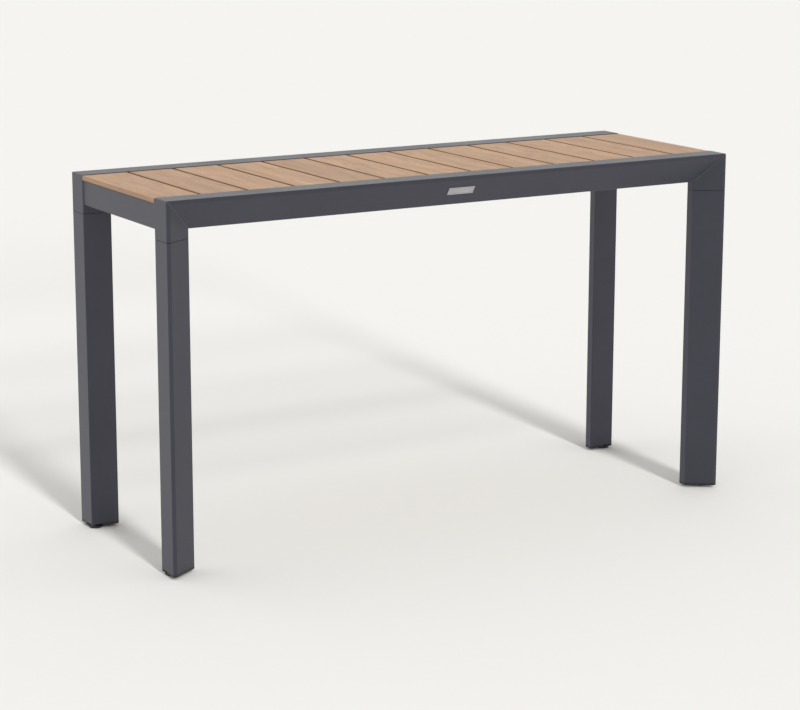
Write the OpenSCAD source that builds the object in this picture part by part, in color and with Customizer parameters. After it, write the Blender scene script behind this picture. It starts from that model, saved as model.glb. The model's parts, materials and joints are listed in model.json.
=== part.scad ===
// Outdoor console table. A powder-coated aluminium frame stands on four legs that
// come off at a seam below the rails, and carries a top of wooden slats that run
// from front to back. Each leg ends in a cap with a levelling foot.
// Millimetres, +Z up, the front faces -Y, and the origin is on the floor under the
// middle of the table.

/* [Table] */
// Overall length, left to right
table_length = 1334; // [1000:2:1800]
// Overall depth, front to back
table_depth = 454; // [380:2:700]
// Overall height, from the floor to the top of the rails
table_height = 750; // [600:5:1000]

/* [Frame profile] */
// Width of a leg seen from the front, and height of the long rails
profile_width = 62; // [56:1:80]
// Thickness of the profile at its outer edge
profile_depth = 54.5; // [50:0.5:64]
// Thickness of the profile at its inner edge
profile_inner = 20; // [18:1:30]
// Width of the flat band beside the outer edge
band_width = 8; // [5:1:14]
// Wall thickness of the profile
profile_wall = 2; // [1.6:0.1:3]
// Radius of the profile's long edges
edge_radius = 2; // [0.8:0.1:2.4]
// Radius of the table's four upper corners, seen from the front
corner_radius = 3; // [1:0.5:4]
// Height of the corner posts, from the top down to the seam with the leg
post_length = 80.5; // [72:0.5:140]
// Height and depth of the groove round the leg at the seam
seam_groove = 0.6; // [0.3:0.1:1]

/* [End rails] */
// Width of the end rails
end_rail_width = 30; // [20:1:32]
// Distance of the end rails' outer face behind the end of the posts
end_rail_recess = 2.5; // [1:0.5:3]
// Wall thickness of the end rails
end_rail_wall = 2; // [1.5:0.1:3]

/* [Slats] */
// Gap between two slats
slat_gap = 5; // [3:0.5:9]
// Thickness of a slat
slat_thickness = 9.5; // [8:0.5:14]
// Depth of the slats' top face below the top of the rails
slat_recess = 1.4; // [0.4:0.1:3]
// Gap between a slat's end and the rail
slat_end_gap = 0.5; // [0.3:0.1:1.5]
// Radius of the slats' long edges
slat_radius = 1.2; // [0.5:0.1:2]

/* [Under frame] */
// Width of the ledges that carry the slats' ends
ledge_width = 20; // [18:1:30]
// Thickness of the ledges
ledge_wall = 2; // [1.5:0.1:3]
// Height of the ledges and of the batten under the middle of the slats
batten_height = 20; // [18:1:24]
// Width of the batten
batten_width = 30; // [20:1:50]
// Height of the cross bars under the batten
bar_height = 20; // [12:1:24]
// Width of the cross bars
bar_width = 30; // [20:1:50]
// Wall thickness of the batten and the cross bars
bar_wall = 1.5; // [1.2:0.1:2.5]
// Distance between the two cross bars
bar_spacing = 444; // [300:2:700]

/* [Screws] */
// Diameter of the screws that hold the slats and the ledges
screw_diameter = 4; // [3:0.5:5]
// Diameter of their heads
screw_head = 7.6; // [6:0.2:9]
// Height of their heads
screw_head_height = 2; // [1.4:0.1:2.6]
// Depth of a slat screw in the wood
screw_depth = 6; // [4:0.5:7]
// Number of screws in each ledge
ledge_screw_count = 5; // [3:1:9]
// Distance of the outer ledge screws from the ledge's ends
ledge_screw_margin = 60; // [45:1:90]
// Length of a ledge screw inside the rail
ledge_screw_tip = 4; // [2:0.5:8]

/* [Leg joint] */
// Diameter of the bolt that holds a leg
bolt_diameter = 8; // [6:1:8]
// Diameter of the bolt's head
bolt_head = 13; // [11:0.5:13.5]
// Height of the bolt's head
bolt_head_height = 4.4; // [3:0.2:6]
// Distance of the bolt from the end of the table
bolt_inset = 41.5; // [41:0.5:43]
// Distance of the bolt below the top of the table
bolt_drop = 58; // [57:0.5:60]
// Width across the flats of the bolt's nut
bolt_nut = 13; // [10:0.5:13]
// Height of the bolt's nut
bolt_nut_height = 6.4; // [4:0.2:7]
// Length of the bolt beyond its nut
bolt_tip = 1.5; // [0.5:0.5:3]
// Width across the flats of the socket in the bolt's head
bolt_key = 5; // [4:0.5:6]
// Depth of that socket
bolt_key_depth = 2.6; // [1.5:0.1:2.8]
// Wall thickness of the connector inside the leg and the post
connector_wall = 4; // [3:0.5:4.5]
// Depth of the connector in the leg
connector_depth = 80; // [50:5:120]

/* [Feet] */
// Thickness of the cap's plate
cap_thickness = 6; // [6:0.5:10]
// Size of the bevel round the cap's lower edge
cap_bevel = 1.2; // [0.5:0.1:2]
// Height of the plug that stands in the leg
plug_height = 25; // [20:1:40]
// Wall thickness of the plug
plug_wall = 2.5; // [1.6:0.1:3.5]
// Distance of the foot's axis from the two faces at the leg's corner
foot_inset = 16; // [15.5:0.5:18]
// Width of the corner pillar between the two windows
pillar_width = 7.5; // [5:0.5:8]
// Height of the windows in the cap
window_height = 4.7; // [4:0.1:4.9]
// Diameter of the turning wheel
wheel_diameter = 29.5; // [24:0.5:30]
// Thickness of the turning wheel
wheel_thickness = 2.7; // [2.6:0.1:4]
// Diameter of the wheel's hub
hub_diameter = 16; // [13:0.5:17]
// Diameter of the glide pad
pad_diameter = 27.5; // [20:0.5:29]
// Thickness of the glide pad
pad_thickness = 1.5; // [1.2:0.1:3]
// Size of the bevel round the glide pad's lower edge
pad_bevel = 0.7; // [0.3:0.1:1]
// Diameter of the pad's pin
pin_diameter = 5; // [3:0.5:6]
// Thickness of the wheel above the pin
pin_cover = 1; // [0.7:0.1:1.4]
// Diameter of the threaded stud
stud_diameter = 8; // [6:0.5:8.5]
// Length of the threaded stud
stud_length = 40; // [36:1:50]
// Size of the bevel at the stud's tip
stud_bevel = 1; // [0.5:0.1:1.5]
// Depth of the stud's foot in the wheel's disc
stud_seat = 0.3; // [0.1:0.1:0.4]
// Width across the flats of the stud's nut
foot_nut = 13; // [11.5:0.5:14]
// Height of the stud's nut
foot_nut_height = 8; // [6:0.5:10]
// Thickness of the plug's floor under the nut
nut_floor = 4; // [3:0.5:6]
// Height of the plug's boss above the nut
nut_rim = 3; // [1:0.5:5]
// Diameter of the boss round the nut
boss_diameter = 24; // [21:0.5:25]

/* [Plate on the rail] */
// Length of the plate
plate_length = 61; // [40:1:90]
// Height of the plate along the sloped face
plate_height = 17.5; // [9:0.5:24]
// Thickness of the plate
plate_thickness = 0.9; // [0.5:0.1:1.6]
// Radius of the plate's corners
plate_radius = 1; // [0.5:0.1:3]
// Distance of the plate's middle from the middle of the table, to the right
plate_offset = -1; // [-400:1:400]
// Distance of the plate's upper edge below the band, along the sloped face
plate_drop = 19; // [10:1:30]

/* [Clearances] */
// Gap round the connector in the post and in the leg
connector_gap = 0.25; // [0.1:0.05:0.5]
// Gap between the connector's top and the mitred joint, measured straight down
connector_headroom = 7; // [5:0.5:7.5]
// Gap round the plug in the leg
plug_gap = 0.15; // [0.1:0.05:0.4]
// Gap round a bolt, a screw or a nut in its seat
fastener_gap = 0.15; // [0.1:0.05:0.3]
// Running gap between stud and nut, and between pin and wheel, on the radius
running_gap = 0.05; // [0.02:0.01:0.1]
// Gap round the stud where it is pressed into the wheel
press_gap = 0.02; // [0.01:0.01:0.05]
// Gap round the stud in the cap
stud_gap = 0.5; // [0.3:0.1:1]
// Room in the wood beyond the tip of a slat screw
pilot_room = 0.5; // [0.2:0.1:1]
// Gap between the glide pad and the wheel
pad_gap = 0.3; // [0.2:0.05:0.5]
// Gap between the wheel and the cap when the foot is screwed in
wheel_gap = 0.5; // [0.3:0.1:1]
// Gap round the hub in the cap
hub_gap = 0.7; // [0.4:0.1:1]

/* [Hidden] */

// Smoothness of round parts, and steps in the arc at a rounded corner
$fn = 64;
arc_steps = 5;
// A cut runs past the face that it opens by this much
past = 1;

// Main planes, measured from the origin
end_x = table_length / 2;
front_y = table_depth / 2;
inner_y = front_y - profile_depth;
top_z = table_height;
seam_z = top_z - post_length;

// Slats
slat_count = 13;
slat_pitch = (table_length + slat_gap) / slat_count;
slat_width = slat_pitch - slat_gap;
slat_length = 2 * (inner_y - slat_end_gap);
slat_top = top_z - slat_recess;
slat_under = slat_top - slat_thickness;

// End rails and under frame
end_rail_height = profile_width - slat_recess - slat_thickness;
end_rail_radius = end_rail_wall;
frame_x = end_x - end_rail_recess - end_rail_width;
batten_under = slat_under - batten_height;
ledge_middle = (ledge_wall + ledge_width) / 2;
ledge_screw_drop = (ledge_wall + batten_height) / 2;
ledge_screw_span = 2 * (frame_x - ledge_screw_margin);

// Foot, stacked from the floor up
wheel_z = pad_thickness + pad_gap;
wheel_top = wheel_z + wheel_thickness;
cap_z = wheel_top + wheel_gap;
leg_z = cap_z + cap_thickness;
pin_length = wheel_thickness - pin_cover;
hub_height = window_height;
nut_seat = leg_z + nut_floor;
boss_top = nut_seat + foot_nut_height + nut_rim;
window_depth = foot_inset - hub_diameter / 2;
window_width = 2 * (foot_inset - pillar_width);

// The sloped face, from the band to the profile's inner edge
slope_run = profile_width - band_width;
slope_rise = profile_depth - profile_inner;
slope_angle = atan2(slope_rise, slope_run);

// Section of legs, posts and long rails: first the distance from the outer edge,
// then the depth from the outer face
profile = [
    [0, 0],
    [band_width, 0],
    [profile_width, slope_rise],
    [profile_width, profile_depth],
    [0, profile_depth]
];

// Depth of the sloped face at the distance u from the outer edge, moved inwards by t
function slope_depth(u, t) =
    (u - band_width) * slope_rise / slope_run + t / cos(slope_angle);

// The profile moved inwards by t, without its flat band once that has closed up
function profile_inset(t) = concat(
    slope_depth(t, t) < t
        ? [[t, t], [band_width - t * tan(slope_angle / 2), t]]
        : [[t, slope_depth(t, t)]],
    [
        [profile_width - t, slope_depth(profile_width - t, t)],
        [profile_width - t, profile_depth - t],
        [t, profile_depth - t]
    ]
);

// Unit vector along v, and the same turned a quarter left
function unit(v) = v / norm(v);
function left_of(v) = [-v.y, v.x];

// Normals of the two edges that meet at corner i, pointing into an outline that
// runs anticlockwise
function normal_before(p, i) = left_of(unit(p[i] - p[(i + len(p) - 1) % len(p)]));
function normal_after(p, i) = left_of(unit(p[(i + 1) % len(p)] - p[i]));

// Corner i moved inwards until both of its edges have moved by t
function inward(p, i, t) =
    let (a = normal_before(p, i), b = normal_after(p, i))
    p[i] + t * (a + b) / (1 + a * b);

// An outline that lies inside p by t
function inset(p, t) = [for (i = [0:len(p) - 1]) inward(p, i, t)];

// The outline p with its corners rounded to the radius r
function rounded(p, r) = [
    for (i = [0:len(p) - 1])
        let (
            a = normal_before(p, i),
            turn = acos(a * normal_after(p, i)),
            start = atan2(-a.y, -a.x)
        )
        for (j = [0:arc_steps])
            let (angle = start + turn * j / arc_steps)
            inward(p, i, r) + r * [cos(angle), sin(angle)]
];

// An upright rectangle, anticlockwise from its lower left corner
function rectangle(x, y, w, h) = [[x, y], [x + w, y], [x + w, y + h], [x, y + h]];

// Places of the ledge screws along the rail
function ledge_screw_x(i) = ledge_screw_span * (i / (ledge_screw_count - 1) - 0.5);

// Middle of slat number i, counted from 1 at the left
function slat_x(i) = -end_x + slat_width / 2 + (i - 1) * slat_pitch;

// Children drawn at the front left are mirrored to the right or to the back
module at_corner(right, back) {
    if (right)
        mirror([1, 0, 0]) at_side(back) children();
    else
        at_side(back) children();
}

module at_side(back) {
    if (back)
        mirror([0, 1, 0]) children();
    else
        children();
}

// Children drawn once for each of the four corners
module at_each_corner() {
    for (right = [false, true])
        for (back = [false, true])
            at_corner(right, back) children();
}

// A prism along Y, from an outline in X and Z
module across(outline, length) {
    translate([0, length / 2, 0])
        rotate([90, 0, 0])
            linear_extrude(length)
                polygon(outline);
}

// A prism along X, from an outline in Y and Z
module along(outline, length) {
    translate([-length / 2, 0, 0])
        rotate([90, 0, 90])
            linear_extrude(length)
                polygon(outline);
}

// A cylinder along Y that starts at y and ends at y + length
module rod_y(d, y, length) {
    translate([0, y + length, 0])
        rotate([90, 0, 0])
            cylinder(d = d, h = length);
}

// The space that the frame may fill, with the two upper corners rounded
module outer_limit() {
    across(rounded(rectangle(-end_x, 0, table_length, top_z), corner_radius), table_depth + 2 * past);
}

// The profile standing on end at the front left, from z to z + length
module upright(outline, z, length) {
    translate([-end_x, -front_y, z])
        linear_extrude(length)
            polygon(outline);
}

// The region below the mitred joint at the left, lowered by gap
module below_mitre(gap) {
    reach = profile_width + past;
    across([
        [-end_x - past, 0],
        [-end_x + reach, 0],
        [-end_x + reach, top_z - gap - reach],
        [-end_x - past, top_z - gap + past]
    ], table_depth + 2 * past);
}

// Long rail at the front: the profile on its side, mitred at both ends
module front_beam() {
    mitre = [
        [-end_x - past, top_z + past],
        [-end_x + profile_width + past, top_z - profile_width - past],
        [end_x - profile_width - past, top_z - profile_width - past],
        [end_x + past, top_z + past]
    ];
    difference() {
        intersection() {
            translate([-end_x, -front_y, top_z])
                rotate([0, 90, 0])
                    linear_extrude(table_length)
                        difference() {
                            polygon(rounded(profile, edge_radius));
                            polygon(profile_inset(profile_wall));
                        }
            across(mitre, table_depth + 2 * past);
            outer_limit();
        }
        for (i = [0:ledge_screw_count - 1])
            translate([ledge_screw_x(i), 0, slat_under - ledge_screw_drop])
                rod_y(screw_diameter + 2 * fastener_gap,
                    -inner_y - profile_wall - past, profile_wall + 2 * past);
    }
}

module long_rail(back) {
    color("#5c5c64")
        at_side(back)
            front_beam();
}

// Rectangular tube between a front post and a back post, under the outermost slat
module end_rail(right) {
    outline = rectangle(-end_x + end_rail_recess, slat_under - end_rail_height,
        end_rail_width, end_rail_height);
    color("#55555c")
        at_corner(right, false)
            across_tube(outline, end_rail_wall, end_rail_radius, 2 * inner_y);
}

module across_tube(outline, wall, radius, length) {
    difference() {
        across(rounded(outline, radius), length);
        across(inset(outline, wall), length + 2 * past);
    }
}

module along_tube(outline, wall, radius, length) {
    difference() {
        along(rounded(outline, radius), length);
        along(inset(outline, wall), length + 2 * past);
    }
}

// Short post at a corner, mitred to the long rail and open below for the connector
module corner_post(right, back) {
    color("#56565e")
        at_corner(right, back)
            difference() {
                intersection() {
                    upright(rounded(profile, edge_radius), seam_z, post_length);
                    below_mitre(0);
                    outer_limit();
                }
                upright(profile_inset(profile_wall), seam_z - past, post_length + 2 * past);
                translate([-end_x + bolt_inset, 0, top_z - bolt_drop])
                    rod_y(bolt_diameter + 2 * fastener_gap,
                        -inner_y - profile_wall - past, profile_wall + 2 * past);
            }
}

// Detachable leg: the same profile from the foot cap up to the seam, where a fine
// groove runs round its top
module leg(right, back) {
    leg_length = seam_z - leg_z;
    neck_z = seam_z - seam_groove - past;
    color("#4c4c53")
        at_corner(right, back)
            difference() {
                union() {
                    upright(rounded(profile, edge_radius), leg_z, leg_length - seam_groove);
                    upright(rounded(profile_inset(seam_groove), edge_radius), neck_z, seam_groove + past);
                }
                upright(profile_inset(profile_wall), leg_z - past, leg_length + 2 * past);
            }
}

// Sleeve fixed in the leg's top, which slides up into the post and is bolted there
module leg_connector(right, back) {
    outside = profile_wall + connector_gap;
    base_z = seam_z - connector_depth;
    height = connector_depth + post_length;
    color("#b4b6b8")
        at_corner(right, back)
            difference() {
                intersection() {
                    upright(profile_inset(outside), base_z, height);
                    below_mitre(connector_headroom);
                }
                upright(profile_inset(outside + connector_wall), base_z - past, height + 2 * past);
                translate([-end_x + bolt_inset, 0, top_z - bolt_drop])
                    rod_y(bolt_diameter + 2 * fastener_gap, bolt_nut_y() - past, connector_wall + 2 * past);
            }
}

// Inner face of the connector's wall, where the nut sits
function bolt_nut_y() = -inner_y - profile_wall - connector_gap - connector_wall;

// Bolts through the posts' inner walls, reached from under the table top
module leg_bolts() {
    shank_y = bolt_nut_y() - bolt_nut_height - bolt_tip;
    color("#8d9094")
        at_each_corner()
            translate([-end_x + bolt_inset, 0, top_z - bolt_drop]) {
                rod_y(bolt_diameter, shank_y, -inner_y - shank_y);
                difference() {
                    rod_y(bolt_head, -inner_y, bolt_head_height);
                    translate([0, -inner_y + bolt_head_height + past, 0])
                        rotate([90, 30, 0])
                            cylinder(d = bolt_key / cos(30), h = bolt_key_depth + past, $fn = 6);
                }
            }
}

module leg_bolt_nuts() {
    color("#9a9da1")
        at_each_corner()
            translate([-end_x + bolt_inset, bolt_nut_y(), top_z - bolt_drop])
                rotate([90, 30, 0])
                    difference() {
                        cylinder(d = bolt_nut / cos(30), h = bolt_nut_height, $fn = 6);
                        translate([0, 0, -past])
                            cylinder(d = bolt_diameter + 2 * running_gap, h = bolt_nut_height + 2 * past);
                    }
}

// Children placed on the foot's axis at the front left, on the floor
module at_foot() {
    translate([-end_x + foot_inset, -inner_y - foot_inset, 0])
        children();
}

// Plastic cap: a plate with two windows beside its corner, and a plug in the leg
module foot_cap(right, back) {
    color("#37373b")
        at_corner(right, back)
            difference() {
                union() {
                    cap_plate();
                    plug();
                }
                foot_windows();
                at_foot() {
                    translate([0, 0, cap_z - past])
                        cylinder(d = hub_diameter + 2 * hub_gap, h = window_height + past);
                    cylinder(d = stud_diameter + 2 * stud_gap, h = boss_top + past);
                    translate([0, 0, nut_seat])
                        cylinder(d = (foot_nut + 2 * fastener_gap) / cos(30), h = boss_top, $fn = 6);
                }
            }
}

// Plate with the leg's outline, bevelled round its lower edge
module cap_plate() {
    slice = cap_thickness / 10;
    upright(rounded(profile, edge_radius), cap_z + cap_bevel, cap_thickness - cap_bevel);
    hull() {
        upright(rounded(profile_inset(cap_bevel), edge_radius), cap_z, slice);
        upright(rounded(profile, edge_radius), cap_z + cap_bevel, slice);
    }
}

// Plug with a boss for the nut, and two ribs from the boss to the far walls
module plug() {
    outside = profile_wall + plug_gap;
    difference() {
        upright(profile_inset(outside), leg_z - past, plug_height + past);
        upright(profile_inset(outside + plug_wall), leg_z - past, plug_height + 2 * past);
    }
    at_foot()
        translate([0, 0, leg_z - past])
            cylinder(d = boss_diameter, h = boss_top - leg_z + past);
    intersection() {
        upright(profile_inset(outside), leg_z - past, boss_top - leg_z + past);
        at_foot() {
            translate([0, -plug_wall / 2, 0])
                cube([profile_width, plug_wall, table_height]);
            translate([-plug_wall / 2, -profile_depth, 0])
                cube([plug_wall, profile_depth, table_height]);
        }
    }
}

// One window in the end face and one in the inner face, with a pillar between
module foot_windows() {
    translate([-end_x, -inner_y, cap_z - past]) {
        translate([-past, -pillar_width - window_width, 0])
            cube([window_depth + past, window_width, window_height + past]);
        translate([pillar_width, -window_depth, 0])
            cube([window_width, window_depth + past, window_height + past]);
    }
}

module foot_nuts() {
    color("#a3a6aa")
        at_each_corner()
            at_foot()
                translate([0, 0, nut_seat])
                    difference() {
                        cylinder(d = foot_nut / cos(30), h = foot_nut_height, $fn = 6);
                        translate([0, 0, -past])
                            cylinder(d = stud_diameter + 2 * running_gap, h = foot_nut_height + 2 * past);
                    }
}

// Threaded stud, fixed in the turning wheel
module levelling_stud(right, back) {
    color("#a8abaf")
        at_corner(right, back)
            at_foot()
                translate([0, 0, wheel_top - stud_seat]) {
                    cylinder(d = stud_diameter, h = stud_length - stud_bevel);
                    translate([0, 0, stud_length - stud_bevel])
                        cylinder(d1 = stud_diameter, d2 = stud_diameter - 2 * stud_bevel, h = stud_bevel);
                }
}

// Flat wheel with a hub: turning it raises or lowers the corner of the table
module turning_wheel(right, back) {
    color("#222224")
        at_corner(right, back)
            at_foot()
                difference() {
                    union() {
                        translate([0, 0, wheel_z])
                            cylinder(d = wheel_diameter, h = wheel_thickness);
                        translate([0, 0, wheel_top])
                            cylinder(d = hub_diameter, h = hub_height);
                    }
                    translate([0, 0, wheel_top - stud_seat])
                        cylinder(d = stud_diameter + 2 * press_gap, h = hub_height + stud_seat + past);
                    translate([0, 0, wheel_z - past])
                        cylinder(d = pin_diameter + 2 * running_gap, h = pin_length + past);
                }
}

// Glide pad that stays still on the floor while the wheel turns on its pin
module glide_pad(right, back) {
    color("#18181a")
        at_corner(right, back)
            at_foot() {
                cylinder(d1 = pad_diameter - 2 * pad_bevel, d2 = pad_diameter, h = pad_bevel);
                translate([0, 0, pad_bevel]) {
                    cylinder(d = pad_diameter, h = pad_thickness - pad_bevel);
                    cylinder(d = pin_diameter, h = pad_thickness - pad_bevel + pin_length);
                }
            }
}

// Wooden slat number i, with a pilot hole at each end for its screw
module slat(i) {
    outline = rectangle(slat_x(i) - slat_width / 2, slat_under, slat_width, slat_thickness);
    color("#c4a386")
        difference() {
            across(rounded(outline, slat_radius), slat_length);
            slat_screw_places(i)
                translate([0, 0, -past])
                    cylinder(d = screw_diameter + 2 * running_gap, h = screw_depth + pilot_room + past);
        }
}

// Children placed at the two screws of slat number i, at the slat's underside
module slat_screw_places(i) {
    for (back = [false, true])
        at_side(back)
            translate([slat_x(i), -inner_y + ledge_middle, slat_under])
                children();
}

// Angle along a long rail's inner face: the slats' ends lie on its upper flange
module ledge(back) {
    color("#606068")
        at_side(back)
            difference() {
                along([
                    [-inner_y, slat_under - batten_height],
                    [-inner_y + ledge_wall, slat_under - batten_height],
                    [-inner_y + ledge_wall, slat_under - ledge_wall],
                    [-inner_y + ledge_width, slat_under - ledge_wall],
                    [-inner_y + ledge_width, slat_under],
                    [-inner_y, slat_under]
                ], 2 * frame_x);
                for (i = [1:slat_count])
                    translate([slat_x(i), -inner_y + ledge_middle, slat_under - ledge_wall - past])
                        cylinder(d = screw_diameter + 2 * fastener_gap, h = ledge_wall + 2 * past);
                for (i = [0:ledge_screw_count - 1])
                    translate([ledge_screw_x(i), 0, slat_under - ledge_screw_drop])
                        rod_y(screw_diameter + 2 * fastener_gap, -inner_y - past, ledge_wall + 2 * past);
            }
}

// Tube under the middle of the slats, from end rail to end rail
module centre_batten() {
    color("#606068")
        along_tube(rectangle(-batten_width / 2, batten_under, batten_width, batten_height),
            bar_wall, bar_wall, 2 * frame_x);
}

// Tube under the batten, from long rail to long rail
module cross_bar(right) {
    color("#5a5a62")
        at_corner(right, false)
            across_tube(rectangle(-bar_spacing / 2 - bar_width / 2, batten_under - bar_height,
                bar_width, bar_height), bar_wall, bar_wall, 2 * inner_y);
}

module slat_screws() {
    color("#b9bcc0")
        for (i = [1:slat_count])
            slat_screw_places(i) {
                translate([0, 0, -ledge_wall - screw_head_height])
                    cylinder(d = screw_head, h = screw_head_height);
                translate([0, 0, -ledge_wall])
                    cylinder(d = screw_diameter, h = ledge_wall + screw_depth);
            }
}

module ledge_screws() {
    color("#b9bcc0")
        for (back = [false, true])
            at_side(back)
                for (i = [0:ledge_screw_count - 1])
                    translate([ledge_screw_x(i), 0, slat_under - ledge_screw_drop]) {
                        rod_y(screw_head, -inner_y + ledge_wall, screw_head_height);
                        rod_y(screw_diameter, -inner_y - profile_wall - ledge_screw_tip,
                            profile_wall + ledge_wall + ledge_screw_tip);
                    }
}

// Bare metal plate on the front rail's sloped face
module rail_plate() {
    outline = rectangle(-plate_length / 2, -plate_drop - plate_height, plate_length, plate_height);
    color("#c9c9cd")
        translate([plate_offset, -front_y, top_z - band_width])
            rotate([90 + slope_angle, 0, 0])
                linear_extrude(plate_thickness)
                    polygon(rounded(outline, plate_radius));
}

long_rail(false);  // front_rail
long_rail(true);  // back_rail
end_rail(false);  // left_end_rail
end_rail(true);  // right_end_rail
corner_post(false, false);  // corner_post_front_left
corner_post(true, false);  // corner_post_front_right
corner_post(false, true);  // corner_post_back_left
corner_post(true, true);  // corner_post_back_right
leg(false, false);  // leg_front_left
leg(true, false);  // leg_front_right
leg(false, true);  // leg_back_left
leg(true, true);  // leg_back_right
leg_connector(false, false);  // leg_connector_front_left
leg_connector(true, false);  // leg_connector_front_right
leg_connector(false, true);  // leg_connector_back_left
leg_connector(true, true);  // leg_connector_back_right
leg_bolts();
leg_bolt_nuts();
foot_cap(false, false);  // foot_cap_front_left
foot_cap(true, false);  // foot_cap_front_right
foot_cap(false, true);  // foot_cap_back_left
foot_cap(true, true);  // foot_cap_back_right
foot_nuts();
levelling_stud(false, false);  // levelling_stud_front_left
levelling_stud(true, false);  // levelling_stud_front_right
levelling_stud(false, true);  // levelling_stud_back_left
levelling_stud(true, true);  // levelling_stud_back_right
turning_wheel(false, false);  // turning_wheel_front_left
turning_wheel(true, false);  // turning_wheel_front_right
turning_wheel(false, true);  // turning_wheel_back_left
turning_wheel(true, true);  // turning_wheel_back_right
glide_pad(false, false);  // glide_pad_front_left
glide_pad(true, false);  // glide_pad_front_right
glide_pad(false, true);  // glide_pad_back_left
glide_pad(true, true);  // glide_pad_back_right
slat(1);  // slat_01
slat(2);  // slat_02
slat(3);  // slat_03
slat(4);  // slat_04
slat(5);  // slat_05
slat(6);  // slat_06
slat(7);  // slat_07
slat(8);  // slat_08
slat(9);  // slat_09
slat(10);  // slat_10
slat(11);  // slat_11
slat(12);  // slat_12
slat(13);  // slat_13
ledge(false);  // front_ledge
ledge(true);  // back_ledge
centre_batten();
cross_bar(false);  // left_cross_bar
cross_bar(true);  // right_cross_bar
slat_screws();
ledge_screws();
rail_plate();
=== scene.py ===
# %% [markdown]
# # An outdoor console table
#
# The table is a long narrow frame of aluminium profiles with a slatted wooden top.
# Its solids come from the CAD model, in metres and already in place. This script
# gives each of them the surface of the real one, adds the small things that a CAD
# solid leaves out, and sets up the floor, the light and the camera.

# %% Load the CAD frame
import json
import math

import bmesh
import bpy
from mathutils import Matrix, Vector


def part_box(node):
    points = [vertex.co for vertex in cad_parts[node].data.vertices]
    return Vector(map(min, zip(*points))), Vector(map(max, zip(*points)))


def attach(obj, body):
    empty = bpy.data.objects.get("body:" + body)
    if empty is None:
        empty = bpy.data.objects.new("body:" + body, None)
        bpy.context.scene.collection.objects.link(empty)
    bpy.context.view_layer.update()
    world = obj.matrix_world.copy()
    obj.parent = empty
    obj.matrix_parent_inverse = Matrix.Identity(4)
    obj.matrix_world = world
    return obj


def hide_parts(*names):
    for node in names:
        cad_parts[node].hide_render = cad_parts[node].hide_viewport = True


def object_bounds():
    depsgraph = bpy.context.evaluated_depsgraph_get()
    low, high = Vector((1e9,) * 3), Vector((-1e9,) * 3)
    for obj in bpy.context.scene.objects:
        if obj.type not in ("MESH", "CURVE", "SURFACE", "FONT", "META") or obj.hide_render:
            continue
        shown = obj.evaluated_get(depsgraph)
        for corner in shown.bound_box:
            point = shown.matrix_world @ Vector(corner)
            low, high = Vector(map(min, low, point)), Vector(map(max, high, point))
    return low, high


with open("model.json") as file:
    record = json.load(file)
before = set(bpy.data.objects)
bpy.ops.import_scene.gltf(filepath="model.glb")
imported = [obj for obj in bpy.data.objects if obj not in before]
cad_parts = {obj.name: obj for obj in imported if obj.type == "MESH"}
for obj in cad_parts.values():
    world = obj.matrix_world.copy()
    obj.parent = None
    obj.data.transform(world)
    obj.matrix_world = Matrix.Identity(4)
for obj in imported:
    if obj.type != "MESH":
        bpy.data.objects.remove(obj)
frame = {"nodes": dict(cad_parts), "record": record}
cad_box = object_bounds()
nodes = frame["nodes"]
print("CAD nodes:", len(nodes))
print("CAD box:", [[round(v, 4) for v in corner] for corner in cad_box])

# %% [markdown]
# ## Sizes read from the frame
#
# Patterns such as the mitre line have to meet the solids exactly, so their places
# are read from the nodes' boxes and not typed in again.

# %% Read the sizes
def vectors(corners):
    return [Vector(corner) for corner in corners]


table_high = Vector(cad_box[1])
end_x = table_high.x
top_z = table_high.z

first_slat_low, first_slat_high = vectors(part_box("slat_01"))
slat_pitch = vectors(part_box("slat_02"))[0].x - first_slat_low.x
slat_width = first_slat_high.x - first_slat_low.x
end_rail_low, end_rail_high = vectors(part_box("left_end_rail"))
inner_y = end_rail_high.y
seam_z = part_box("leg_front_left")[1][2]
print("slat pitch:", round(slat_pitch, 4), "slat width:", round(slat_width, 4))
print("end rail reaches y:", round(inner_y, 4), "leg seam at z:", round(seam_z, 4))

# %% Place and tilt of the rail plate
# The plate lies on the front rail's sloped face, so its box is larger than the plate.
SLOPE = math.radians(32.6)
PLATE_THICKNESS = 0.0009
PLATE_WIDTH = 0.0175
plate_low, plate_high = vectors(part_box("rail_plate"))
plate_half_length = (plate_high.x - plate_low.x) / 2
face_normal = Vector((0.0, -math.cos(SLOPE), -math.sin(SLOPE)))
up_the_slope = Vector((0.0, -math.sin(SLOPE), math.cos(SLOPE)))
plate_middle = (plate_low + plate_high) / 2 + face_normal * PLATE_THICKNESS / 2
print("plate length:", round(2 * plate_half_length, 4))

# %% [markdown]
# ## The camera
#
# The photograph was taken from the front left, a little above the top. The place,
# the turn and the lens were worked out from the table's own edges. Looking down a
# little keeps the lens shift at zero, which suits the views from other sides.

# %% Camera
PHOTO_WIDTH = 800
FOCAL_PIXELS = 2390.0
CAMERA_PLACE = (-2.558, -4.300, 1.455)
HEADING = math.radians(30.558)
PITCH_DOWN = math.radians(12.631)
ROLL = math.radians(0.084)

camera_data = bpy.data.cameras.new("camera")
camera_data.sensor_width = 36.0
camera_data.lens = FOCAL_PIXELS / PHOTO_WIDTH * camera_data.sensor_width
camera_data.clip_end = 200.0
camera = bpy.data.objects.new("camera", camera_data)
bpy.context.scene.collection.objects.link(camera)
camera.matrix_world = (
    Matrix.Translation(CAMERA_PLACE)
    @ Matrix.Rotation(-HEADING, 4, "Z")
    @ Matrix.Rotation(math.pi / 2 - PITCH_DOWN, 4, "X")
    @ Matrix.Rotation(ROLL, 4, "Z")
)
bpy.context.scene.camera = camera
bpy.context.scene.view_settings.view_transform = "Standard"
print("lens:", round(camera_data.lens, 2), "mm")

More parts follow.
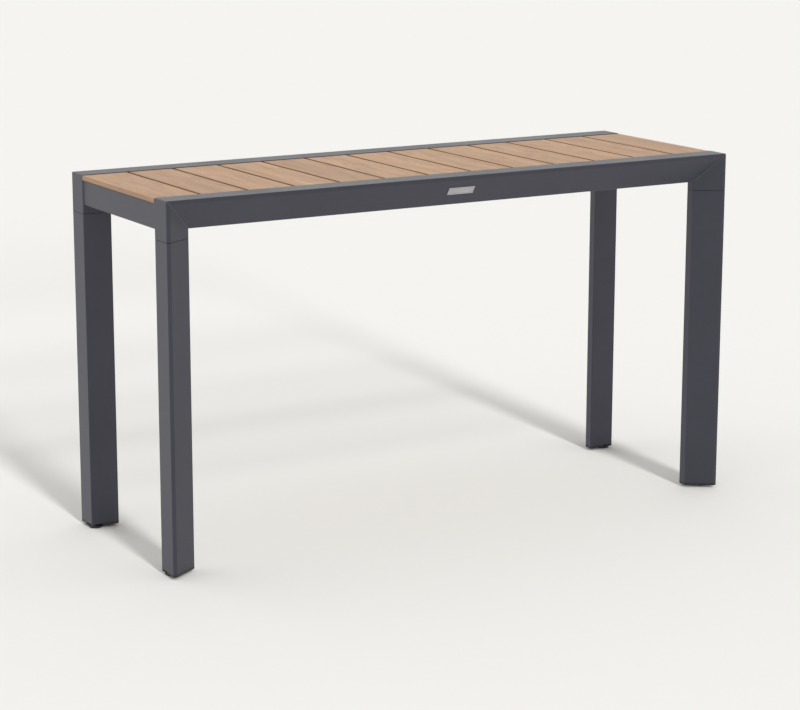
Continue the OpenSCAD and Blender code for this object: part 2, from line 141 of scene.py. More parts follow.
# %% [markdown]
# ## Small helpers for shader nodes
#
# A shader is a chain of nodes. `add` makes one node, sets its options and either
# links or fills its inputs, so that a material reads as a short recipe. Every
# chain of sums goes through `calc`, and every mix of colours through `tint`.
# `lay_over` paints a second colour where a mask is bright, like a thin glaze.

# %% Node helpers
def add(tree, kind, inputs=None, **options):
    made = tree.nodes.new(kind)
    for name, value in options.items():
        setattr(made, name, value)
    for name, value in (inputs or {}).items():
        if isinstance(value, bpy.types.NodeSocket):
            tree.links.new(value, made.inputs[name])
        else:
            made.inputs[name].default_value = value
    return made


def calc(tree, operation, first, second=0.0, third=0.0):
    made = add(tree, "ShaderNodeMath", {0: first, 1: second, 2: third}, operation=operation)
    return made.outputs[0]


def product(tree, first, second):
    return calc(tree, "MULTIPLY", first, second)


# The Mix node has a set of sockets for each kind of data. For colours the two
# inputs are number 6 and 7, and the output is number 2.
def tint(tree, factor, first, second, blend="MIX"):
    made = add(tree, "ShaderNodeMix", {0: factor, 6: first, 7: second},
               data_type="RGBA", blend_type=blend)
    return made.outputs[2]


def lay_over(tree, base, mask, share, second):
    return tint(tree, product(tree, mask, share), base, second)


def remap(tree, value, low, high, new_low, new_high, smooth=False):
    made = add(tree, "ShaderNodeMapRange",
               {"Value": value, "From Min": low, "From Max": high,
                "To Min": new_low, "To Max": new_high},
               interpolation_type="SMOOTHSTEP" if smooth else "LINEAR")
    return made.outputs["Result"]


def colour(red, green, blue):
    return (red, green, blue, 1.0)


def object_place(tree):
    return add(tree, "ShaderNodeTexCoord").outputs["Object"]


def stretched(tree, place, scale):
    return add(tree, "ShaderNodeMapping", {"Vector": place, "Scale": scale}).outputs["Vector"]


def vector_calc(tree, operation, first, second):
    return add(tree, "ShaderNodeVectorMath", {0: first, 1: second}, operation=operation).outputs


def noise(tree, place, scale, detail=2.0, output="Fac", **inputs):
    made = add(tree, "ShaderNodeTexNoise",
               {"Vector": place, "Scale": scale, "Detail": detail, **inputs})
    return made.outputs[output]


def axes(tree, vector):
    return add(tree, "ShaderNodeSeparateXYZ", {0: vector}).outputs


def new_group(name, ins, outs):
    group = bpy.data.node_groups.new(name, "ShaderNodeTree")
    for label, kind, value in ins:
        socket = group.interface.new_socket(label, in_out="INPUT", socket_type=kind)
        if value is not None:
            socket.default_value = value
    for label, kind in outs:
        group.interface.new_socket(label, in_out="OUTPUT", socket_type=kind)
    start = group.nodes.new("NodeGroupInput")
    end = group.nodes.new("NodeGroupOutput")
    return group, start.outputs, end.inputs


def use_group(tree, group, inputs):
    return add(tree, "ShaderNodeGroup", inputs, node_tree=group).outputs


# Names of sockets are given with underscores in the place of their spaces.
def new_material(name, **plain):
    material = bpy.data.materials.new(name)
    material.use_nodes = True
    tree = material.node_tree
    shader = tree.nodes["Principled BSDF"]
    for label, value in plain.items():
        shader.inputs[label.replace("_", " ")].default_value = value
    return material, tree, shader


def finish_with(tree, shader, **sockets):
    for label, value in sockets.items():
        tree.links.new(value, shader.inputs[label.replace("_", " ")])


print("helpers ready")

# %% [markdown]
# ## Floor and backdrop
#
# The photograph shows an even off-white studio. One large pale floor fills the
# frame up to the horizon. To the rays that the camera and the shiny surfaces send
# out, the world behind it shows the tone of the lit floor, so the two blend softly.

# %% Floor
PALE = (0.905, 0.896, 0.863)
FLOOR_COLOUR = (0.745, 0.738, 0.711)
FLOOR_SHADE = 0.997
FLOOR_REACH = 60.0

floor_mesh = bmesh.new()
bmesh.ops.create_grid(floor_mesh, x_segments=1, y_segments=1, size=FLOOR_REACH)
floor_data = bpy.data.meshes.new("studio_floor")
floor_mesh.to_mesh(floor_data)
floor_mesh.free()
floor = bpy.data.objects.new("studio_floor", floor_data)
bpy.context.scene.collection.objects.link(floor)

floor_material, tree, shader = new_material("studio_floor", Roughness=1.0,
                                            Specular_IOR_Level=0.0)
cloud = noise(tree, object_place(tree), 3.0)
pale = tint(tree, remap(tree, cloud, 0.3, 0.7, 0.0, 1.0),
            colour(*[v * FLOOR_SHADE for v in FLOOR_COLOUR]), colour(*FLOOR_COLOUR))
finish_with(tree, shader, Base_Color=pale)
floor_data.materials.append(floor_material)
print("floor reaches", FLOOR_REACH, "m each way")

# %% [markdown]
# ## Light
#
# Most of the light is a wide soft dome, a little dimmer at the front, where the
# photographer stands, so the faces that look forward stay dark. The shadows run
# straight back from the legs, as from a tall soft box at the front. Four lamps one
# above the other stand for it. They are linked to the floor alone, because in the
# photograph the faces of the rails don't catch that light.

# %% World
# The dome is as bright at each side as its level there says, and blends in between.
DOME_LEVEL = 0.86
FRONT_LEVEL, BACK_LEVEL = 0.15, 1.0
LEFT_LEVEL, RIGHT_LEVEL = 1.35, 1.05
OVERHEAD_LEVEL = 1.05

world = bpy.data.worlds.new("soft_dome")
bpy.context.scene.world = world
world.use_nodes = True
tree = world.node_tree
tree.nodes.clear()
direction = axes(tree, add(tree, "ShaderNodeTexCoord").outputs["Generated"])
front_to_back = remap(tree, direction["Y"], -1.0, 0.5, FRONT_LEVEL, BACK_LEVEL)
left_to_right = remap(tree, direction["X"], -1.0, 1.0, LEFT_LEVEL, RIGHT_LEVEL)
side_level = product(tree, front_to_back, left_to_right)
height = remap(tree, direction["Z"], 0.05, 0.95, 0.0, 1.0)
dome = add(tree, "ShaderNodeMix", {0: height, 2: side_level, 3: OVERHEAD_LEVEL},
           data_type="FLOAT").outputs[0]
dome_light = add(tree, "ShaderNodeBackground",
                 {"Color": colour(1.0, 1.0, 1.0), "Strength": product(tree, dome, DOME_LEVEL)})
backdrop = add(tree, "ShaderNodeBackground", {"Color": colour(*PALE), "Strength": 1.0})
ray = add(tree, "ShaderNodeLightPath").outputs
seen = calc(tree, "MAXIMUM", ray["Is Camera Ray"],
            calc(tree, "MAXIMUM", ray["Is Glossy Ray"], ray["Is Transmission Ray"]))
mixed = add(tree, "ShaderNodeMixShader",
            {0: seen, 1: dome_light.outputs[0], 2: backdrop.outputs[0]})
add(tree, "ShaderNodeOutputWorld", {"Surface": mixed.outputs[0]})
print("dome level:", DOME_LEVEL)

# %% Front lamps
# (elevation in degrees, share of the light on an open floor)
LAMP_COLUMN = ((14.0, 0.09), (24.0, 0.09), (35.0, 0.12), (48.0, 0.09))
LAMP_AZIMUTH = math.radians(4.0)
LAMP_WIDTH = math.radians(7.0)
lit_by_lamps = bpy.data.collections.new("lit_by_front_lamps")
lit_by_lamps.objects.link(floor)


def front_lamp(elevation, share):
    data = bpy.data.lights.new("front_lamp_%d" % elevation, "SUN")
    data.angle = LAMP_WIDTH
    rise = math.radians(elevation)
    data.energy = share * math.pi / math.sin(rise)
    lamp = bpy.data.objects.new(data.name, data)
    bpy.context.scene.collection.objects.link(lamp)
    towards = Vector((math.sin(LAMP_AZIMUTH) * math.cos(rise),
                      math.cos(LAMP_AZIMUTH) * math.cos(rise), -math.sin(rise)))
    lamp.rotation_euler = towards.to_track_quat("-Z", "Y").to_euler()
    lamp.light_linking.receiver_collection = lit_by_lamps
    return data.energy


print("lamps:", [round(front_lamp(*lamp), 2) for lamp in LAMP_COLUMN])

# %% [markdown]
# ## Effects that several materials share
#
# Wear along edges, soft smudges, the pebbled skin of paint and plastic, and fine
# lines that run one way are each built once, as a node group with named inputs.
# A material then places the group with its own values.

# %% Edge rub
# The Bevel node gives the normal of a rounded edge. Where it turns away from the
# true normal, an edge is near, and a little noise breaks the line up.
edge_rub, given, result = new_group(
    "edge_rub",
    [("Reach", "NodeSocketFloat", 0.001), ("Amount", "NodeSocketFloat", 1.0)],
    [("Mask", "NodeSocketFloat")],
)
rounded = add(edge_rub, "ShaderNodeBevel", {"Radius": given["Reach"]}, samples=4)
flat = add(edge_rub, "ShaderNodeNewGeometry").outputs["True Normal"]
alike = vector_calc(edge_rub, "DOT_PRODUCT", rounded.outputs[0], flat)["Value"]
edge = remap(edge_rub, alike, 0.995, 0.8, 0.0, 1.0, smooth=True)
patchy = noise(edge_rub, object_place(edge_rub), 45.0, 4.0)
patchy = remap(edge_rub, patchy, 0.35, 0.65, 0.3, 1.0)
edge_rub.links.new(product(edge_rub, product(edge_rub, edge, patchy), given["Amount"]),
                   result["Mask"])
print("group:", edge_rub.name)

# %% Smudges
# A soft cloud, whose patches are about as wide as Size.
smudges, given, result = new_group(
    "smudges", [("Size", "NodeSocketFloat", 0.1)], [("Mask", "NodeSocketFloat")])
frequency = calc(smudges, "DIVIDE", 1.0, given["Size"])
cloud = noise(smudges, object_place(smudges), frequency, 5.0, Roughness=0.6)
smudges.links.new(remap(smudges, cloud, 0.3, 0.7, 0.0, 1.0, smooth=True), result["Mask"])
print("group:", smudges.name)

# %% Pebbled skin
# Waves and small cells give the height, and a finer noise gives the speckle.
pebbled_skin, given, result = new_group(
    "pebbled_skin", [("Grain", "NodeSocketFloat", 0.001)],
    [("Height", "NodeSocketFloat"), ("Speckle", "NodeSocketFloat")])
frequency = calc(pebbled_skin, "DIVIDE", 1.0, given["Grain"])
place = object_place(pebbled_skin)
waves = noise(pebbled_skin, place, frequency)
cells = add(pebbled_skin, "ShaderNodeTexVoronoi",
            {"Vector": place, "Scale": product(pebbled_skin, frequency, 1.7)},
            feature="SMOOTH_F1").outputs["Distance"]
pebbled_skin.links.new(calc(pebbled_skin, "ADD", product(pebbled_skin, waves, 0.7),
                            product(pebbled_skin, cells, 0.3)), result["Height"])
sparkle = noise(pebbled_skin, place, product(pebbled_skin, frequency, 3.0), 1.0)
pebbled_skin.links.new(remap(pebbled_skin, sparkle, 0.3, 0.7, 0.0, 1.0), result["Speckle"])
print("group:", pebbled_skin.name)

# %% Fine lines that run one way
# Noise is squeezed across the lines and drawn out along them. Wood fibres, the
# die lines of an extrusion and a brushed plate differ only in these two scales.
fine_lines, given, result = new_group(
    "fine_lines",
    [("Vector", "NodeSocketVector", None), ("Lines per metre", "NodeSocketVector", None),
     ("Detail", "NodeSocketFloat", 4.0)],
    [("Value", "NodeSocketFloat")])
squeezed = vector_calc(fine_lines, "MULTIPLY", given["Vector"], given["Lines per metre"])[0]
lines = noise(fine_lines, squeezed, 1.0, given["Detail"], Roughness=0.55)
fine_lines.links.new(remap(fine_lines, lines, 0.3, 0.7, 0.0, 1.0), result["Value"])
print("group:", fine_lines.name)


def lines_along(tree, place, lines_per_metre, detail):
    return use_group(tree, fine_lines, {"Vector": place, "Lines per metre": lines_per_metre,
                                        "Detail": detail})["Value"]


def rub(tree, reach, amount):
    return use_group(tree, edge_rub, {"Reach": reach, "Amount": amount})["Mask"]


def smudge(tree, size):
    return use_group(tree, smudges, {"Size": size})["Mask"]


# %% [markdown]
# ## Powder-coated aluminium
#
# The frame is anthracite powder coat: baked paint with a fine orange-peel skin, a
# soft sheen and slightly lighter edges where it has been handled. The mitres were
# welded and ground flat before the coat went on, so they still show as a hair
# line. The line is drawn where the two halves of the corner meet. The fine groove
# where each leg meets its post is darkened with painted shade.

# %% Frame coat
COAT_DARK = colour(0.048, 0.0485, 0.070)
COAT_LIGHT = colour(0.056, 0.0565, 0.080)
COAT_SPECKLE = colour(0.067, 0.068, 0.094)
COAT_RUBBED = colour(0.145, 0.147, 0.170)
COAT_OVER_WELD = colour(0.115, 0.116, 0.145)
# Painted shade for the fine groove where each leg meets its post
GROOVE_PAINTED_SHADE = colour(0.010, 0.010, 0.013)
MITRE_HALF, MITRE_FADED = 0.0007, 0.0016
GROOVE_HALF, GROOVE_FADED = 0.0008, 0.0013
INNER_MARGIN = 0.0001

frame_coat, tree, shader = new_material("powder_coat", Specular_IOR_Level=0.36)
x, y, z = axes(tree, object_place(tree))
skin = use_group(tree, pebbled_skin, {"Grain": 0.0009})
cloud = smudge(tree, 0.16)
rubbed = rub(tree, 0.0012, 0.55)
coat = tint(tree, cloud, COAT_DARK, COAT_LIGHT)
coat = lay_over(tree, coat, skin["Speckle"], 0.3, COAT_SPECKLE)
coat = lay_over(tree, coat, rubbed, 0.6, COAT_RUBBED)

# The mitre: as far from the end as from the top, and only outside the end rails
from_end = calc(tree, "SUBTRACT", end_x, calc(tree, "ABSOLUTE", x))
from_top = calc(tree, "SUBTRACT", top_z, z)
off_mitre = calc(tree, "ABSOLUTE", calc(tree, "SUBTRACT", from_end, from_top))
past_inner = calc(tree, "GREATER_THAN", calc(tree, "ABSOLUTE", y), inner_y - INNER_MARGIN)
mitre = remap(tree, off_mitre, MITRE_HALF, MITRE_FADED, 1.0, 0.0, smooth=True)
mitre = product(tree, mitre, past_inner)
coat = lay_over(tree, coat, mitre, 0.85, COAT_OVER_WELD)

# Painted shade in the groove between post and leg
off_seam = calc(tree, "ABSOLUTE", calc(tree, "SUBTRACT", z, seam_z))
groove_shade = remap(tree, off_seam, GROOVE_HALF, GROOVE_FADED, 1.0, 0.0, smooth=True)
coat = lay_over(tree, coat, groove_shade, 0.75, GROOVE_PAINTED_SHADE)

rough = calc(tree, "ADD", 0.34, product(tree, cloud, 0.07))
rough = calc(tree, "SUBTRACT", rough, product(tree, rubbed, 0.08))
relief = calc(tree, "SUBTRACT", skin["Height"], product(tree, mitre, 0.8))
bumped = add(tree, "ShaderNodeBump", {"Strength": 0.4, "Distance": 0.0003, "Height": relief})
finish_with(tree, shader, Base_Color=coat, Roughness=rough, Normal=bumped.outputs[0])
print("material:", frame_coat.name)

# %% [markdown]
# ## Oiled hardwood slats
#
# The thirteen slats are pale brown hardwood, planed smooth and oiled. Each board
# is cut from another place of the log, so its number gives it its own shade and
# its own stretch of grain. The grain is laid down from coarse to fine: broad soft
# bands, brown strokes, golden patches, the rings of the tree, pale fibres, and short
# dark pores, which are tiny grooves. The sawn long sides soak up more oil than the
# planed faces, so they are darker. Inside the gaps they are darkened further with
# painted shade, and a fine dark line of painted shade runs along the edges beside
# each gap.

# %% Grain of the slats
BAND_DARK = colour(0.505, 0.292, 0.166)
BAND_LIGHT = colour(0.775, 0.482, 0.292)
STROKE_BROWN = colour(0.470, 0.258, 0.150)
GOLDEN = colour(0.690, 0.425, 0.185)
RING_BROWN = colour(0.420, 0.235, 0.125)
FIBRE_PALE = colour(0.70, 0.470, 0.300)
PORE_DARK = colour(0.22, 0.125, 0.07)
BOARD_ROSE = colour(0.58, 0.345, 0.225)
SAWN_OUTSIDE = colour(0.34, 0.200, 0.118)
# The next two colours carry painted shade: the darker sawn sides inside the gaps and a dark line
# beside each gap
SAWN_SIDE_AND_GAP_SHADE = colour(0.150, 0.068, 0.012)
GAP_EDGE_SHADE = colour(0.260, 0.124, 0.020)
EDGE_PALE = colour(0.60, 0.42, 0.29)
GAP_SHADE_FULL, GAP_SHADE_FADED = 0.0010, 0.0024
END_MARGIN = 0.002
# Metres between one board's place in the log and another's, and how far the grain wanders
LOG_SPREAD = (3.0, 5.0, 2.0)
WANDER = (0.055, 0.0, 0.03)
SECOND_THROW = 40.5

slat_wood, tree, shader = new_material("oiled_wood", Specular_IOR_Level=0.38)
place = object_place(tree)
x, y, z = axes(tree, place)

# The board's number gives its shade, its rosy share and its place in the log.
board = calc(tree, "FLOOR", calc(tree, "DIVIDE", calc(tree, "ADD", x, end_x), slat_pitch))
dice = add(tree, "ShaderNodeTexWhiteNoise", {"W": board}, noise_dimensions="1D").outputs
second_dice = add(tree, "ShaderNodeTexWhiteNoise", {"W": calc(tree, "ADD", board, SECOND_THROW)},
                  noise_dimensions="1D").outputs["Value"]
log_shift = vector_calc(tree, "MULTIPLY", dice["Color"], LOG_SPREAD)[0]
log_place = vector_calc(tree, "ADD", place, log_shift)[0]

# The grain wanders by about a centimetre across the board, and never bends sharply.
wander = noise(tree, stretched(tree, log_place, (9.0, 2.2, 9.0)), 1.0, output="Color")
wander = vector_calc(tree, "SUBTRACT", wander, (0.5, 0.5, 0.5))[0]
wander = vector_calc(tree, "MULTIPLY", wander, WANDER)[0]
grain_place = vector_calc(tree, "ADD", log_place, wander)[0]

rings = add(tree, "ShaderNodeTexWave",
            {"Vector": stretched(tree, grain_place, (1.0, 0.05, 1.0)), "Scale": 26.0,
             "Distortion": 3.5, "Detail": 3.0, "Detail Scale": 1.4},
            wave_type="BANDS", bands_direction="X", wave_profile="SIN").outputs["Fac"]
# The other layers are given as lines per metre across the board, along it and upwards.
bands = lines_along(tree, grain_place, (34.0, 1.6, 34.0), 3.0)
fibres = lines_along(tree, grain_place, (420.0, 9.0, 420.0), 4.0)
pores = lines_along(tree, grain_place, (1500.0, 60.0, 1500.0), 2.0)
pores = remap(tree, pores, 0.68, 0.9, 0.0, 1.0, smooth=True)
strokes = lines_along(tree, grain_place, (95.0, 13.0, 95.0), 3.0)
strokes = remap(tree, strokes, 0.45, 0.85, 0.0, 1.0, smooth=True)
golden = lines_along(tree, grain_place, (48.0, 5.0, 48.0), 2.0)
golden = remap(tree, golden, 0.5, 0.9, 0.0, 1.0, smooth=True)

wood = tint(tree, bands, BAND_DARK, BAND_LIGHT)
wood = lay_over(tree, wood, strokes, 0.85, STROKE_BROWN)
wood = lay_over(tree, wood, golden, 0.65, GOLDEN)
wood = lay_over(tree, wood, rings, 0.42, RING_BROWN)
wood = lay_over(tree, wood, fibres, 0.22, FIBRE_PALE)
wood = lay_over(tree, wood, pores, 0.35, PORE_DARK)
shade = remap(tree, dice["Value"], 0.0, 1.0, 0.92, 1.06)
shade = add(tree, "ShaderNodeCombineColor", {0: shade, 1: shade, 2: shade}).outputs[0]
wood = tint(tree, 1.0, wood, shade, blend="MULTIPLY")
wood = lay_over(tree, wood, second_dice, 0.22, BOARD_ROSE)
print("grain laid for boards", round(slat_pitch * 1000, 1), "mm apart")

# %% Sawn sides, painted shade at the gaps, and finish
facing = add(tree, "ShaderNodeNewGeometry").outputs["True Normal"]
sideways = calc(tree, "ABSOLUTE", axes(tree, facing)["X"])
sawn = remap(tree, sideways, 0.5, 0.95, 0.0, 1.0, smooth=True)
# Inside the gaps the oiled sawn sides are darkened further with painted shade.
in_gap = calc(tree, "LESS_THAN", calc(tree, "ABSOLUTE", x), end_x - END_MARGIN)
oil_soak_and_gap_shade = product(tree, sawn, calc(tree, "ADD", 0.70, product(tree, in_gap, 0.30)))
wood = tint(tree, oil_soak_and_gap_shade, wood, tint(tree, in_gap, SAWN_OUTSIDE, SAWN_SIDE_AND_GAP_SHADE))

# A dark line of painted shade runs along the top edges beside each gap.
across = calc(tree, "MODULO", calc(tree, "ADD", x, end_x), slat_pitch)
from_edge = calc(tree, "MINIMUM", across, calc(tree, "SUBTRACT", slat_width, across))
gap_edge_shade = remap(tree, from_edge, GAP_SHADE_FULL, GAP_SHADE_FADED, 1.0, 0.0, smooth=True)
wood = lay_over(tree, wood, product(tree, gap_edge_shade, in_gap), 0.85, GAP_EDGE_SHADE)
wood = lay_over(tree, wood, rub(tree, 0.0012, 0.4), 0.4, EDGE_PALE)

rough = calc(tree, "ADD", 0.46, product(tree, fibres, 0.12))
rough = calc(tree, "ADD", rough, product(tree, pores, 0.15))
relief = calc(tree, "ADD", product(tree, fibres, 0.35), product(tree, rings, 0.25))
relief = calc(tree, "SUBTRACT", relief, pores)
bumped = add(tree, "ShaderNodeBump", {"Strength": 0.35, "Distance": 0.0002, "Height": relief})
finish_with(tree, shader, Base_Color=wood, Roughness=rough, Normal=bumped.outputs[0])
print("material:", slat_wood.name)

# %% [markdown]
# ## Moulded plastic
#
# The foot caps, the turning wheels and the glide pads are moulded in near black
# plastic. The mould's walls are roughened by sparks, and the plastic takes over their
# fine texture. The caps have a slightly coarser and duller skin than the wheels.

# %% Plastics
def moulded_plastic(name, dark, light, grain, roughness):
    """Plastic whose skin has pebbles about as wide as grain, in metres."""
    material, tree, shader = new_material(name, Specular_IOR_Level=0.45)
    skin = use_group(tree, pebbled_skin, {"Grain": grain})
    cloud = smudge(tree, 0.03)
    shade = tint(tree, cloud, colour(*dark), colour(*light))
    shade = lay_over(tree, shade, skin["Speckle"], 0.2, colour(*[v * 1.5 for v in light]))
    shade = lay_over(tree, shade, rub(tree, 0.0005, 0.8), 0.5,
                     colour(*[v * 2.6 + 0.01 for v in light]))
    rough = calc(tree, "ADD", roughness, product(tree, cloud, 0.1))
    bumped = add(tree, "ShaderNodeBump",
                 {"Strength": 0.3, "Distance": 0.0001, "Height": skin["Height"]})
    finish_with(tree, shader, Base_Color=shade, Roughness=rough, Normal=bumped.outputs[0])
    return material


cap_plastic = moulded_plastic("cap_moulding", (0.020, 0.020, 0.025), (0.026, 0.026, 0.032),
                              grain=0.0004, roughness=0.48)
wheel_plastic = moulded_plastic("wheel_moulding", (0.022, 0.022, 0.026), (0.030, 0.030, 0.035),
                                grain=0.0003, roughness=0.42)
print("materials:", cap_plastic.name, wheel_plastic.name)

# %% [markdown]
# ## Bare metals
#
# The connectors are mill-finish extrusion with die lines along their length. The
# levelling studs are zinc plated, with a cloudy passivated film, and the bolts, nuts
# and screws are stainless. The little plate on the rail is brushed along its length.
# All four are the same recipe with other colours, lines and roughness.

# %% Metals
POLISHED_EDGE = colour(0.85, 0.85, 0.86)


def bare_metal(name, dark, light, lines, roughness, cloud_size):
    """Metal whose streaks are given as lines per metre along each axis."""
    material, tree, shader = new_material(name, Metallic=1.0)
    streaks = lines_along(tree, object_place(tree), lines, 3.0)
    rubbed = rub(tree, 0.0004, 0.8)
    shade = tint(tree, smudge(tree, cloud_size), colour(*dark), colour(*light))
    shade = lay_over(tree, shade, streaks, 0.3, colour(*[v * 0.8 for v in dark]))
    shade = lay_over(tree, shade, rubbed, 0.5, POLISHED_EDGE)
    rough = calc(tree, "ADD", roughness, product(tree, streaks, 0.14))
    rough = calc(tree, "SUBTRACT", rough, product(tree, rubbed, 0.08))
    bumped = add(tree, "ShaderNodeBump", {"Strength": 0.2, "Distance": 0.00005, "Height": streaks})
    finish_with(tree, shader, Base_Color=shade, Roughness=rough, Normal=bumped.outputs[0])
    return material


bare_aluminium = bare_metal("mill_aluminium", (0.58, 0.585, 0.60), (0.68, 0.685, 0.70),
                            lines=(900.0, 900.0, 12.0), roughness=0.36, cloud_size=0.05)
fastener_steel = bare_metal("stainless_steel", (0.50, 0.51, 0.52), (0.62, 0.63, 0.63),
                            lines=(700.0, 700.0, 700.0), roughness=0.32, cloud_size=0.008)
stud_steel = bare_metal("bright_zinc", (0.48, 0.49, 0.50), (0.60, 0.61, 0.62),
                        lines=(600.0, 600.0, 900.0), roughness=0.30, cloud_size=0.01)
plate_metal = bare_metal("brushed_plate", (0.60, 0.60, 0.62), (0.70, 0.70, 0.72),
                         lines=(25.0, 2600.0, 2600.0), roughness=0.34, cloud_size=0.02)
print("metals:", ", ".join(m.name for m in (bare_aluminium, fastener_steel, stud_steel,
                                            plate_metal)))

# %% [markdown]
# ## Engraved border of the plate
#
# Such a plate is etched, and then its raised rim is brushed bright. This one carries
# no words. A fine dark line runs round it, 1.9 mm inside its edge, and the field
# within is a little darker than the rim. The etching is less deep than a hair is
# wide, so it isn't cut into the solid, and the material draws it from the plate's
# sizes.

# %% Border and field
BORDER_INSET = 0.0019
BORDER_HALF = 0.00035
BORDER_FADED = BORDER_HALF * 1.6
ETCHED_FIELD = colour(0.36, 0.36, 0.38)
ETCHED_LINE = colour(0.14, 0.14, 0.15)

tree = plate_metal.node_tree
shader = tree.nodes["Principled BSDF"]
from_middle = vector_calc(tree, "SUBTRACT", object_place(tree), plate_middle)[0]
up = vector_calc(tree, "DOT_PRODUCT", from_middle, up_the_slope)["Value"]
sideways = calc(tree, "ABSOLUTE", axes(tree, from_middle)["X"])
past_ends = calc(tree, "SUBTRACT", sideways, plate_half_length - BORDER_INSET)
past_sides = calc(tree, "SUBTRACT", calc(tree, "ABSOLUTE", up), PLATE_WIDTH / 2 - BORDER_INSET)
past_line = calc(tree, "MAXIMUM", past_ends, past_sides)
field = calc(tree, "LESS_THAN", past_line, 0.0)
line = remap(tree, calc(tree, "ABSOLUTE", past_line), BORDER_HALF, BORDER_FADED, 1.0, 0.0,
             smooth=True)
brushed = shader.inputs["Base Color"].links[0].from_socket
etched = lay_over(tree, brushed, field, 0.45, ETCHED_FIELD)
etched = lay_over(tree, etched, line, 0.8, ETCHED_LINE)
finish_with(tree, shader, Base_Color=etched)
print("plate border:", BORDER_INSET * 1000, "mm inside the edge")

# %% [markdown]
# ## Dressing the solids
#
# The frame's record says which material slot each solid has. One table turns the
# slots into the materials above, so pieces of one kind always look alike.

# %% Give each CAD node its material
finishes = {
    "frame_metal": frame_coat,
    "bare_aluminium": bare_aluminium,
    "slat_wood": slat_wood,
    "cap_plastic": cap_plastic,
    "wheel_plastic": wheel_plastic,
    "stud_steel": stud_steel,
    "fastener_steel": fastener_steel,
    "plate_metal": plate_metal,
}
for part in frame["record"]["subparts"]:
    for slot in nodes[part["node"]].material_slots:
        slot.material = finishes[part["material_slot"]]

# %% [markdown]
# ## Weld beads at the end rails
#
# Each end rail is a tube that butts against the two posts and is welded round its
# outer side, underside and inner side. The bead is a small sloping collar under
# the paint. A cube is scaled to the tube and reaches a little into the post, past
# the post's rounded edge. Its face there is widened, the sloping edges are
# softened, and the part above the tube is cut away, because the slat lies there.

# %% Weld beads
BEAD_OUT = 0.0022
BEAD_IN = 0.0012
BEAD_GROWTH = 0.0019
BEAD_SOFTNESS = 0.0008
SAME_PLACE = 0.000001
UP = Vector((0.0, 0.0, 1.0))
SIDES = (-1, 1)


def cut_off(mesh, level, out):
    """Cut away what lies past a level plane, above it or below it, and close the hole."""
    everything = mesh.verts[:] + mesh.edges[:] + mesh.faces[:]
    bmesh.ops.bisect_plane(mesh, geom=everything, plane_co=(0.0, 0.0, level),
                           plane_no=(0.0, 0.0, out), clear_outer=True)
    bmesh.ops.holes_fill(mesh, edges=[e for e in mesh.edges if e.is_boundary])


def keep(mesh, name, material, body="frame"):
    """Turn the finished mesh into a piece that moves with a body and has a slot."""
    bmesh.ops.remove_doubles(mesh, verts=mesh.verts, dist=SAME_PLACE)
    bmesh.ops.recalc_face_normals(mesh, faces=mesh.faces)
    for face in mesh.faces:
        face.smooth = False
    data = bpy.data.meshes.new(name)
    mesh.to_mesh(data)
    mesh.free()
    data.materials.append(material)
    piece = bpy.data.objects.new(name, data)
    bpy.context.scene.collection.objects.link(piece)
    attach(piece, body)
    return piece


def add_bead(mesh, side, end):
    made = bmesh.ops.create_cube(mesh, size=1.0)["verts"]
    width = end_rail_high.x - end_rail_low.x
    height = end_rail_high.z - end_rail_low.z
    middle = Vector((side * abs(end_rail_high.x + end_rail_low.x) / 2,
                     end * (inner_y + (BEAD_IN - BEAD_OUT) / 2),
                     (end_rail_high.z + end_rail_low.z) / 2))
    bmesh.ops.scale(mesh, vec=(width, BEAD_OUT + BEAD_IN, height), verts=made)
    bmesh.ops.translate(mesh, vec=middle, verts=made)
    in_post = [v for v in made if v.co.y * end > inner_y]
    grow = (1 + 2 * BEAD_GROWTH / width, 1.0, 1 + 2 * BEAD_GROWTH / height)
    bmesh.ops.scale(mesh, vec=grow, verts=in_post, space=Matrix.Translation(-middle))


beads = bmesh.new()
for side in SIDES:
    for end in SIDES:
        add_bead(beads, side, end)
slopes = [e for e in beads.edges if abs(e.verts[0].co.y - e.verts[1].co.y) > BEAD_OUT]
bmesh.ops.bevel(beads, geom=slopes, offset=BEAD_SOFTNESS, segments=3, profile=0.5,
                affect="EDGES", material=-1)
cut_off(beads, end_rail_high.z, 1.0)
weld_beads = keep(beads, "weld_beads", frame_coat)
print("weld beads:", len(weld_beads.data.polygons), "faces")

# %% [markdown]
# ## Pins of the rail plate
#
# The small metal plate on the front rail is held by two tiny domed pins, one near
# each end. Each starts as a round disc, which is drawn up in three steps and shrunk
# at each of them. The dome is then turned to stand square on the sloping face.

# %% Plate pins
PIN_RADIUS = 0.0012
PIN_HEIGHT = 0.0005
PIN_INSET = 0.0040
# (share of the height, how much the ring shrinks) for each step up
PIN_STEPS = ((0.45, 0.92), (0.3, 0.78), (0.25, 0.45))


def add_pin(mesh, place, normal):
    made = bmesh.ops.create_circle(mesh, cap_ends=True, radius=PIN_RADIUS, segments=16)["verts"]
    rim = [f for f in mesh.faces if all(v in made for v in f.verts)]
    for lift, shrink in PIN_STEPS:
        rim = bmesh.ops.extrude_discrete_faces(mesh, faces=rim)["faces"]
        tips = list({v for f in rim for v in f.verts})
        bmesh.ops.scale(mesh, vec=(shrink, shrink, 1.0), verts=tips)
        bmesh.ops.translate(mesh, vec=(0.0, 0.0, PIN_HEIGHT * lift), verts=tips)
        made += tips
    turn = UP.rotation_difference(normal).to_matrix()
    bmesh.ops.rotate(mesh, cent=(0.0, 0.0, 0.0), matrix=turn, verts=made)
    bmesh.ops.translate(mesh, vec=place, verts=made)


pins = bmesh.new()
half_span = plate_half_length - PIN_INSET
for side in SIDES:
    add_pin(pins, plate_middle + Vector((side * half_span, 0.0, 0.0)), face_normal)
plate_pins = keep(pins, "plate_pins", plate_metal)
print("plate pins:", len(plate_pins.data.polygons), "faces")

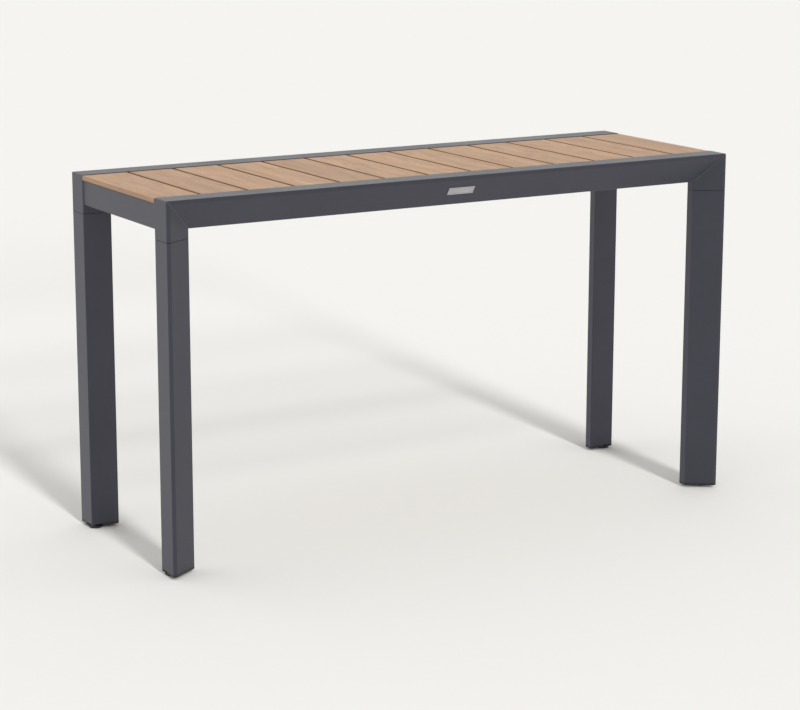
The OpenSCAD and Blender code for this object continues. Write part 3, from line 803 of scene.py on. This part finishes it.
# %% [markdown]
# ## Threads of the levelling studs
#
# When a foot is turned out, a few turns of its M8 thread show under the cap. The
# CAD stud is a plain rod, so a threaded one takes its place. An outline of five
# points, one pitch high, is spun round the axis while it climbs by one pitch per
# turn. Two planes then cut the ends square, and the holes are filled. The studs
# turn with their wheels, so they ride on the wheels' bodies.

# %% Threaded studs
PITCH = 0.00125
ROOT_RADIUS = 0.00330
CREST_RADIUS = 0.00398
STEPS = 24
SEAM_MERGE = 0.00001
# (share of one pitch, radius) for each point of the outline
TURN_OUTLINE = ((0.0, ROOT_RADIUS), (0.22, ROOT_RADIUS), (0.55, CREST_RADIUS),
                (0.68, CREST_RADIUS), (1.0, ROOT_RADIUS))


def threaded_stud(corner):
    low, high = vectors(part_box("levelling_stud_" + corner))
    middle = (low + high) / 2
    turns = math.ceil((high.z - low.z) / PITCH) + 2
    mesh = bmesh.new()
    start = [mesh.verts.new((radius, 0.0, rise * PITCH)) for rise, radius in TURN_OUTLINE]
    outline = [mesh.edges.new(pair) for pair in zip(start, start[1:])]
    bmesh.ops.spin(mesh, geom=start + outline, cent=(0.0, 0.0, 0.0), axis=(0.0, 0.0, 1.0),
                   dvec=(0.0, 0.0, PITCH / STEPS), angle=2 * math.pi * turns,
                   steps=STEPS * turns, use_merge=False, use_duplicate=False)
    bmesh.ops.remove_doubles(mesh, verts=mesh.verts, dist=SEAM_MERGE)
    bmesh.ops.translate(mesh, vec=(middle.x, middle.y, low.z - PITCH), verts=mesh.verts)
    cut_off(mesh, low.z, -1.0)
    cut_off(mesh, high.z, 1.0)
    stud = keep(mesh, "threaded_stud_" + corner, stud_steel, "wheel_" + corner)
    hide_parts("levelling_stud_" + corner)
    return stud


for corner in ("front_left", "front_right", "back_left", "back_right"):
    stud = threaded_stud(corner)
    print(stud.name, len(stud.data.polygons), "faces")

# %% [markdown]
# ## Sizes
#
# The new pieces lie within the table's own box.

# %% Finished
print("scene ready")
